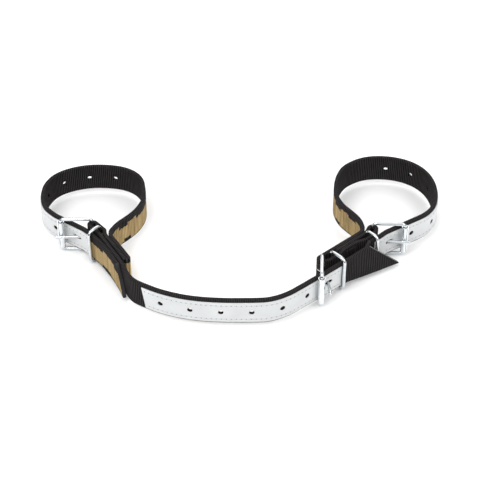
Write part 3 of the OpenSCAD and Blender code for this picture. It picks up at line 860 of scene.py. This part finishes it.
def prong(name, base, direction, sense, opened):
    """Wire curled round the base bar, then straight out over the roller to a rounded tip."""
    eye, tilt, d = prong_line(direction, sense, opened)
    pts, radii = [], []
    for a in np.linspace(352, 90, 44):
        pts.append((eye * math.cos(math.radians(a)), eye * math.sin(math.radians(a))))
        radii.append(PRONG_R)
    radii[0], radii[1] = PRONG_R * 0.72, PRONG_R * 0.94
    way = (math.cos(math.radians(tilt)), math.sin(math.radians(tilt)))
    for t in np.linspace(1.2, PRONG_L - 2.2, 34):
        pts.append((t * way[0], eye + t * way[1]))
        radii.append(PRONG_R)
    # the tip: distances short of the end, and the share of the wire's radius there
    for short, share in ((1.6, 0.97), (1.1, 0.9), (0.65, 0.78), (0.3, 0.58), (0.08, 0.32)):
        pts.append(((PRONG_L - short) * way[0], eye + (PRONG_L - short) * way[1]))
        radii.append(PRONG_R * share)
    world = [plan_point(base, d, x, sense * y, FRAME_MID) for x, y in pts]
    return sweep(name, world, radii, [ZINC], ring=18)


def crossing(course, base, direction, sense, opened, across):
    """Distance along a course where the prong's middle line meets a face at that offset."""
    eye, tilt, d = prong_line(direction, sense, opened)
    start = plan_point(base, d, 0, sense * eye)[:2]
    way = ahead(d + sense * tilt)
    s = np.linspace(0, course.length, int(course.length * 4))
    p = course.place(s, across, 0)[:, :2] * 1000
    rel = p - start
    along = rel @ way
    side = np.abs(rel[:, 0] * way[1] - rel[:, 1] * way[0])
    # the strap lies across the shank between the eye and the roller
    side[(along < 8) | (along > 45)] = np.inf
    return float(s[int(np.argmin(side))])


def prong_hole(course, base, direction, sense, opened, offsets):
    """The punched hole that the prong passes through, drawn out the way the prong opens."""
    near, far = [crossing(course, base, direction, sense, opened, o) for o in offsets]
    return (near + SLOT_SHIFT, far + SLOT_SHIFT, FRAME_MID) + PRONG_SLOT


def nearest(course, spot):
    """Distance along a course of its point nearest a spot."""
    gaps = np.hypot(course.pts[:, 0] - spot[0], course.pts[:, 1] - spot[1])
    return float(course.s[int(np.argmin(gaps))])


def eye_slot(s):
    """The slot in a fold that the prong's eye turns in."""
    return (s, s, FRAME_MID) + EYE_SLOT


def round_holes(places):
    return [(s, s, HOLE_Z, HOLE_R, HOLE_R) for s in places]


# ------------ straps and strips
L, R = left_cuff.length, right_cuff.length
left_hole_s = [L - LEFT_PRONG_AT - i * LEFT_PITCH for i in range(1, CUFF_HOLES + 1)]
right_hole_s = [R - RIGHT_PRONG_AT - i * RIGHT_PITCH for i in range(1, CUFF_HOLES + 1)]
strap_hole_s = [FIRST_STRAP_HOLE + i * STRAP_PITCH for i in range(STRAP_HOLES)]


def bend_left(obj):
    """Bakes the object's transform into its mesh; it does not bend the webbing, which bends from 7 mm on the
    connecting strap's side of the flex to 14 mm past it.
    """
    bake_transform(obj)


def bend_right(obj):
    """Bakes the object's transform into its mesh; it does not bend the webbing, which bends over 10 mm on
    each side of the flex.
    """
    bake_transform(obj)


# left: cuff strap and the left half of the connecting strap are one webbing
half_left_holes = round_holes([SPLIT - s for s in strap_hole_s[:LEFT_OF_SPLIT]])
left_cuff_holes = round_holes([CUFF_AT + s for s in left_hole_s])
left_holes = half_left_holes + left_cuff_holes + [prong_hole(left_all, LB, LDIR, 1, 0, web)]
left_holes.append(eye_slot(CUFF_AT - math.pi * WRAP / 2))
left_strap = web_strap("left_strap_webbing", left_all, left_holes, (0, 1), slant=CUFF_SLANT, uv_sign=-1.0)
bend_left(left_strap)
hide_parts("left_webbing")

# the connecting strap's right half, through the centre buckle to the slanting end panel
half_right_holes = round_holes([s - SPLIT for s in strap_hole_s[LEFT_OF_SPLIT:]])
tail_holes = half_right_holes + [prong_hole(right_half, CB, CDIR, 1, CENTRE_OPEN, web)]
tail_strap = web_strap("connecting_strap_webbing", right_half, tail_holes, (1, 0), slant=PANEL_SLANT)
bend_right(tail_strap)
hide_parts("connecting_webbing", "tail_webbing")

# right: one webbing for bundle and cuff, and its end turned in as a layer of the bundle
right_cuff_holes = round_holes(right_hole_s)
centre_fold = nearest(right_cuff, beside(CB, RRUN, -WRAP, 0))
right_holes = right_cuff_holes + [prong_hole(right_cuff, RB, RDIR, -1, 0, web)]
right_holes += [eye_slot(RIGHT_EYE_AT), eye_slot(centre_fold)]
olive_from = nearest(right_cuff, beside(CB, RRUN, BACK_LAYER, WRAP)) - OLIVE_BEHIND
right_strap = web_strap("right_strap_webbing", right_cuff, right_holes, (1, 0),
                        slant=CUFF_SLANT, olive=(olive_from, right_hole_s[-1]))
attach(right_strap, "right_strap")
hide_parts("right_webbing")
right_layer = web_strap("right_strap_turned_in_layer", right_inner, [], (0, 0))
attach(right_layer, "right_strap")


def add_facing(name, course, s0, s1, left, holes, nodes, place, slant=0.0):
    """A facing strip on one side of a course and the fine stitches along both its edges."""
    out = 1 if left else -1

    def dip(s, z):
        return sewn(s - s0, z)

    band = Band(course, (s0, s1), outer_left if left else outer_right, (FACE_Z0, FACE_Z1), face_rows(), 1.1,
                FACE_ROUND, slant=slant, dip=dip, dip_side=out)
    obj = band.build(name, [WHITE], (0, 0), holes, uv_from=s0)
    place(obj)
    if nodes:
        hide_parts(*nodes)
    spots = []
    skin = out * (HALF_T + FACE_T - 0.15)
    for i in range(int((s1 - s0 - 2) / STITCH)):
        for z in (FACE_Z0 + SEW_IN, FACE_Z1 - SEW_IN):
            spots.append((s0 + (i + 0.5) * STITCH, skin, z, out, STITCH - 1.0, False))
    thread = capsules(name + "_stitches", course, spots, PALE_THREAD)
    place(thread)


def on_body(body):
    return lambda obj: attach(obj, body)


add_facing("left_cuff_strip", left_all, CUFF_AT + left_hole_s[-1] - STRIP_PAST_HOLE,
           CUFF_AT + L - LEFT_STRIP_SHORT, False,
           left_cuff_holes + [prong_hole(left_all, LB, LDIR, 1, 0, outer_right)],
           ["left_cuff_facing"], on_body("left_strap"))
add_facing("connecting_strip_left", left_all, 0, SPLIT - STRIP_START, True, half_left_holes,
           [], bend_left, slant=-STRIP_SLANT)
add_facing("connecting_strip_right", right_half, 0, TAIL_AT + TAIL_FACING, False,
           half_right_holes + [prong_hole(right_half, CB, CDIR, 1, CENTRE_OPEN, outer_right)],
           ["connecting_facing", "tail_facing"], bend_right)
add_facing("right_cuff_strip", right_cuff, right_hole_s[-1] - STRIP_PAST_HOLE, R - RIGHT_STRIP_SHORT, True,
           right_cuff_holes + [prong_hole(right_cuff, RB, RDIR, -1, 0, outer_left)],
           ["right_cuff_facing"], on_body("right_strap"))


def box_seam(name, course, rows, node, body):
    """Box stitching on a bundle's face: two long rows and a cross row at each end, in black thread."""
    spots = []
    for out, s0, s1 in rows:
        skin = out * (HALF_T + 0.1)
        count = int((s1 - s0) / BOX_STITCH)
        for i in range(count + 1):
            for z in (Z0 + 5, Z1 - 5):
                spots.append((s0 + i * BOX_STITCH, skin, z, out, BOX_THREAD, False))
        for s in (s0 - 2.0, s0 + count * BOX_STITCH + 2.0):
            for i in range(6):
                spots.append((s, skin, Z0 + 8.4 + i * BOX_STITCH, out, BOX_THREAD, True))
    obj = capsules(name, course, spots, BLACK_THREAD)
    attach(obj, body)
    if node:
        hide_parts(node)


box_seam("left_bundle_sewing_back", left_cuff, [(-1, *LEFT_BACK_SEAM)], "left_bundle_stitching", "left_strap")
box_seam("left_bundle_sewing_front", left_front, [(-1, *LEFT_FRONT_SEAM)], None, "left_strap")
box_seam("right_bundle_sewing", right_cuff, [(1, *RIGHT_BACK_SEAM), (1, *RIGHT_BASE_SEAM)],
         "right_bundle_stitching", "right_strap")

# ------------ buckles and keepers
BUCKLES = (
    # side, base bar, way the buckle points, side the prong opens to, how far open, roller's seam
    ("left", LB, LDIR, 1, 0.0, 60),
    ("centre", CB, CDIR, 1, CENTRE_OPEN, 60),
    ("right", RB, RDIR, -1, 0.0, -60),
)
KEEPERS = (
    # side, the nearest base bar, the bundle's way, place along it and across it, turn from it, length
    ("left", LB, LRUN, 16.5, 0, -80, 21),
    ("centre", CB, RRUN, 13, -3.5, -90, 25),
    ("right", RB, RRUN, -16.5, -5, -90, 20),
)
for side, base, direction, sense, opened, seam in BUCKLES:
    loop = wire_loop(side + "_frame_wire", base, direction, FRAME_L, FRAME_R, FRAME_R)
    tube = roller(side + "_rolled_tube", base, direction, seam)
    wire = prong(side + "_prong_wire", base, direction, sense, opened)
    for obj, node, body, slot_name in (
        (loop, side + "_buckle_frame", side + "_frame", "zinc_wire"),
        (tube, side + "_roller", side + "_roller", "zinc_sheet"),
        (wire, side + "_prong", side + "_prong", "zinc_wire"),
    ):
        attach(obj, body)
        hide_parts(node)
for side, base, run, along, across, turn, length in KEEPERS:
    at = beside(base, run, along, across)[:2]
    obj = wire_loop(side + "_keeper_wire", at, run + turn, length, FRAME_R, KEEP_R)
    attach(obj, side + "_keeper")
    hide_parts(side + "_keeper")

# ------------ floor, light, camera
FLOOR_CORNERS = [(-1.6, -1.4, 0), (1.6, -1.4, 0), (1.6, 2.2, 0), (-1.6, 2.2, 0)]
floor = make_object("floor", FLOOR_CORNERS, [(0, 1, 2, 3)], [])
floor_mat, fn, floor_bsdf = new_material("pale_floor", Roughness=0.9, Specular_IOR_Level=0.1)
floor_white = fn.mix(fn.noise(fn.position(), 3.0, 2.0), (0.93, 0.93, 0.93, 1), (0.96, 0.96, 0.96, 1))
fn.link(floor_white, floor_bsdf.inputs["Base Color"])
floor.data.materials.append(floor_mat)
# a hair under the hobble, so that nothing lies in the floor's own plane
floor.location.z = -0.0002

world = bpy.data.worlds.new("soft_studio")
world.use_nodes = True
bpy.context.scene.world = world
wn = Nodes(world.node_tree)
background = world.node_tree.nodes["Background"]
sky = wn.add("ShaderNodeTexCoord")
sky_sep = wn.add("ShaderNodeSeparateXYZ")
wn.link(sky.outputs["Generated"], sky_sep.inputs[0])
# dark near the horizon, which gives the bright metal its contrast, and white above
lift = wn.ramp(sky_sep.outputs[2], 0.22, 0.5)
sky_colour = wn.mix(lift, (0.05, 0.052, 0.056, 1), (1.0, 1.0, 1.0, 1))
wn.link(sky_colour, background.inputs["Color"])
background.inputs["Strength"].default_value = 1.15


def soft_light(name, place, aim, size, power):
    light = bpy.data.lights.new(name, "AREA")
    light.shape = "RECTANGLE"
    light.size, light.size_y = size
    light.energy = power
    obj = bpy.data.objects.new(name, light)
    obj.location = place
    obj.rotation_euler = (Vector(aim) - Vector(place)).to_track_quat("-Z", "Y").to_euler()
    bpy.context.scene.collection.objects.link(obj)


soft_light("key_softbox", (-0.9, -0.9, 1.7), (0, 0, 0), (1.4, 1.4), 22)
soft_light("fill_softbox", (1.4, -0.7, 1.1), (0, 0, 0), (1.0, 1.4), 9)
soft_light("back_softbox", (0.2, 1.6, 1.3), (0, 0, 0), (2.0, 0.8), 9)

camera = bpy.data.cameras.new("camera")
camera.sensor_width = 36.0
camera.lens = 116.55
camera.clip_start = 0.05
camera_obj = bpy.data.objects.new("camera", camera)
look = Vector((-MID[0] / 1000, -MID[1] / 1000, 0.026))
CAMERA_UP, CAMERA_AWAY = math.radians(40), 2.1
back = Vector((0, -math.cos(CAMERA_UP), math.sin(CAMERA_UP)))
camera_obj.location = look + back * CAMERA_AWAY
camera_obj.rotation_euler = (math.pi / 2 - CAMERA_UP, 0, 0)
bpy.context.scene.collection.objects.link(camera_obj)
bpy.context.scene.camera = camera_obj
bpy.context.scene.view_settings.view_transform = "Standard"
